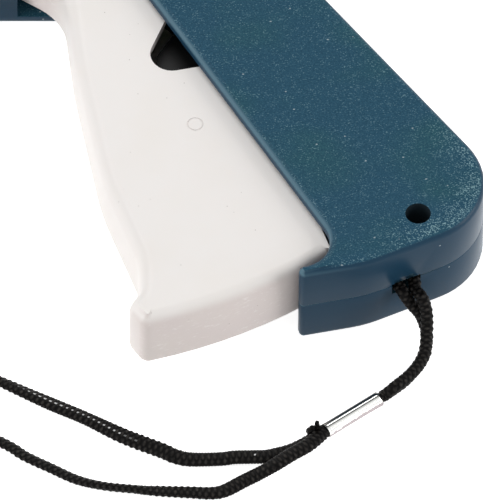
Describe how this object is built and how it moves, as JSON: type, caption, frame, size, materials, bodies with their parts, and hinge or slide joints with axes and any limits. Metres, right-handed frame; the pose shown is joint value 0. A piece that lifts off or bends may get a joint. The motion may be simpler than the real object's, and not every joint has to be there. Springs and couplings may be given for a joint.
{
  "type": "garment tag attacher",
  "caption": "Hand-held trigger tool that pushes plastic tag fasteners through a hollow needle, with a looped wrist lanyard.",
  "frame": {"origin": "bottom centre of the tool without its lanyard, as it lies on its right side", "axes": "+X from the muzzle to the tail along the head, +Y from the handle's foot to the head's top, +Z from the right side up to the left side"},
  "size_m": [0.1736, 0.1558, 0.0235],
  "materials": {
    "housing_plastic": "moulded teal plastic with a fine spark-eroded grain",
    "trigger_plastic": "warm off-white moulded plastic, almost smooth",
    "inner_white_plastic": "smooth white acetal",
    "black_plastic": "smooth black nylon",
    "steel": "plain bright steel",
    "crimp_metal": "bright rolled tube with one open seam",
    "lanyard_cord": "black plaited nylon cord"
  },
  "bodies": {
    "housing": {"left_housing": "housing_plastic", "right_housing": "housing_plastic", "housing_screws": "steel", "trigger_pivot_pin": "steel", "lever_pivot_pin": "steel", "return_spring": "steel", "rod_guide": "inner_white_plastic", "needle": "steel", "needle_base": "inner_white_plastic", "lock_lever_washer": "steel", "clip_guide": "inner_white_plastic", "knife_blade": "steel", "pawl_pin": "steel", "pawl_spring": "steel", "button_spring": "steel", "lanyard_anchor_bend": "lanyard_cord", "lanyard_leg_lower": "lanyard_cord", "lanyard_leg_upper": "lanyard_cord", "lanyard_crimp": "crimp_metal", "lanyard_wrist_loop": "lanyard_cord", "lanyard_cord_ends": "lanyard_cord"},
    "trigger": {"trigger": "trigger_plastic", "drive_pin": "steel"},
    "drive_lever": {"drive_lever": "black_plastic"},
    "carriage": {"carriage": "black_plastic", "cross_pin": "steel", "pusher_rod": "steel"},
    "feed": {"feed_wheel": "inner_white_plastic", "ratchet_wheel": "inner_white_plastic", "feed_shaft": "steel"},
    "pawl": {"feed_pawl": "black_plastic"},
    "release_button": {"release_button": "black_plastic"},
    "lock_lever": {"needle_lock_lever": "black_plastic"}
  },
  "joints": [
    {"name": "trigger_hinge", "type": "hinge", "parent": "housing", "child": "trigger", "pos_m": [-0.00138, 0.03856, 0.0105], "axis": [0, 0, 1], "range_deg": [0, 15], "stiffness_Nm_per_rad": 1.6, "springref_deg": -6.88, "deforming": ["return_spring"]},
    {"name": "lever_hinge", "type": "hinge", "parent": "housing", "child": "drive_lever", "pos_m": [0.03376, 0.01174, 0.0105], "axis": [0, 0, 1], "range_deg": [0, 53.81]},
    {"name": "carriage_slide", "type": "slide", "parent": "housing", "child": "carriage", "axis": [-1, 0, 0], "range_m": [0, 0.03797]},
    {"name": "feed_spin", "type": "hinge", "parent": "housing", "child": "feed", "pos_m": [-0.04478, 0.04256, 0.0074], "axis": [1, 0, 0], "continuous": true},
    {"name": "pawl_hinge", "type": "hinge", "parent": "housing", "child": "pawl", "pos_m": [-0.04378, 0.04106, 0.016], "axis": [1, 0, 0], "range_deg": [0, 10], "stiffness_Nm_per_rad": 0.001},
    {"name": "button_slide", "type": "slide", "parent": "housing", "child": "release_button", "axis": [0, 0, -1], "range_m": [0, 0.0025], "stiffness_N_per_m": 200, "springref_m": -0.0005, "deforming": ["button_spring"]},
    {"name": "lock_lever_turn", "type": "hinge", "parent": "housing", "child": "lock_lever", "pos_m": [-0.06048, 0.05326, 0.0105], "axis": [0, 0, 1], "range_deg": [0, 90]}
  ],
  "couplings": [
    {"joint": "lever_hinge", "follows": "trigger_hinge", "ratio": 3.5873},
    {"joint": "carriage_slide", "follows": "trigger_hinge", "m_per_rad": 0.14504}
  ]
}
